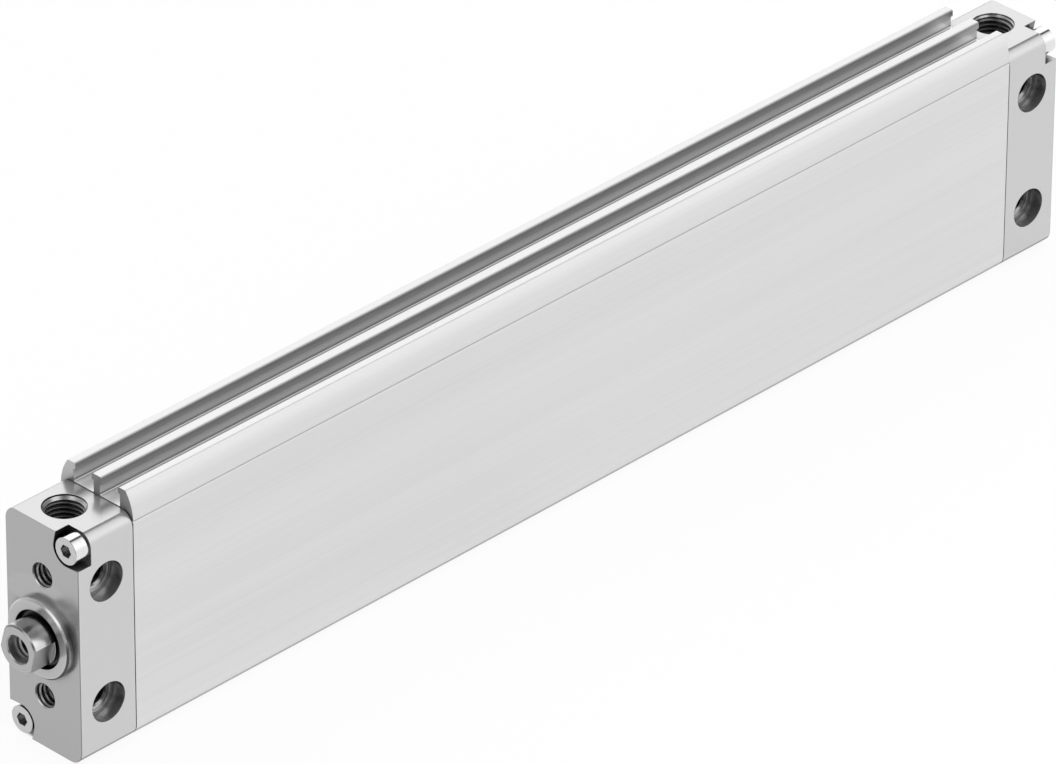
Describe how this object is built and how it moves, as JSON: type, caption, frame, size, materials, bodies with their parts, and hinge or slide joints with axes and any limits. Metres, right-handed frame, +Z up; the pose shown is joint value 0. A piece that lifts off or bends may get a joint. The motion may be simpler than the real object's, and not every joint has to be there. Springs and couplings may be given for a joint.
{
  "type": "flat pneumatic cylinder",
  "caption": "Flat double-acting air cylinder: slim extruded barrel with sensor slots between screwed end caps, air ports on top, and an oval piston whose rod slides out through a collar.",
  "frame": {"origin": "centre of the front cap's mounting face, on the rod axis", "axes": "+X out along the piston rod (extending), +Z up towards the sensor rails and air ports, +Y towards the side with the counterbored holes"},
  "size_m": [0.3307, 0.0234, 0.0647],
  "materials": {
    "barrel_aluminium": "extruded and clear anodised, satin with fine lines along its length",
    "cap_aluminium": "machined and clear anodised, fine satin",
    "screw_steel": "bright zinc plated",
    "seal_rubber": "black nitrile or polyurethane rubber",
    "buffer_rubber": "dark elastic polymer",
    "bush_bronze": "sintered bronze with a sliding layer",
    "rod_steel": "ground and polished high-alloy steel, turned end face",
    "piston_aluminium": "machined",
    "band_plastic": "natural acetal",
    "magnet_ferrite": "dark sintered ferrite",
    "nut_steel": "zinc plated"
  },
  "bodies": {
    "cylinder": {"barrel": "barrel_aluminium", "front_cap": "cap_aluminium", "rear_cap": "cap_aluminium", "front_cap_screws": "screw_steel", "rear_cap_screws": "screw_steel", "front_cap_seal": "seal_rubber", "rear_cap_seal": "seal_rubber", "front_buffer": "buffer_rubber", "rear_buffer": "buffer_rubber", "rod_bush": "bush_bronze", "rod_seal": "seal_rubber", "rod_wiper": "seal_rubber"},
    "rod": {"piston_rod": "rod_steel", "piston_front_half": "piston_aluminium", "piston_rear_half": "piston_aluminium", "piston_front_seal": "seal_rubber", "piston_rear_seal": "seal_rubber", "piston_guide_band": "band_plastic", "piston_magnets": "magnet_ferrite", "piston_washer": "nut_steel", "piston_nut": "nut_steel", "rod_ring": "seal_rubber"}
  },
  "joints": [
    {"name": "rod_slide", "type": "slide", "parent": "cylinder", "child": "rod", "axis": [1, 0, 0], "range_m": [0, 0.25]}
  ]
}
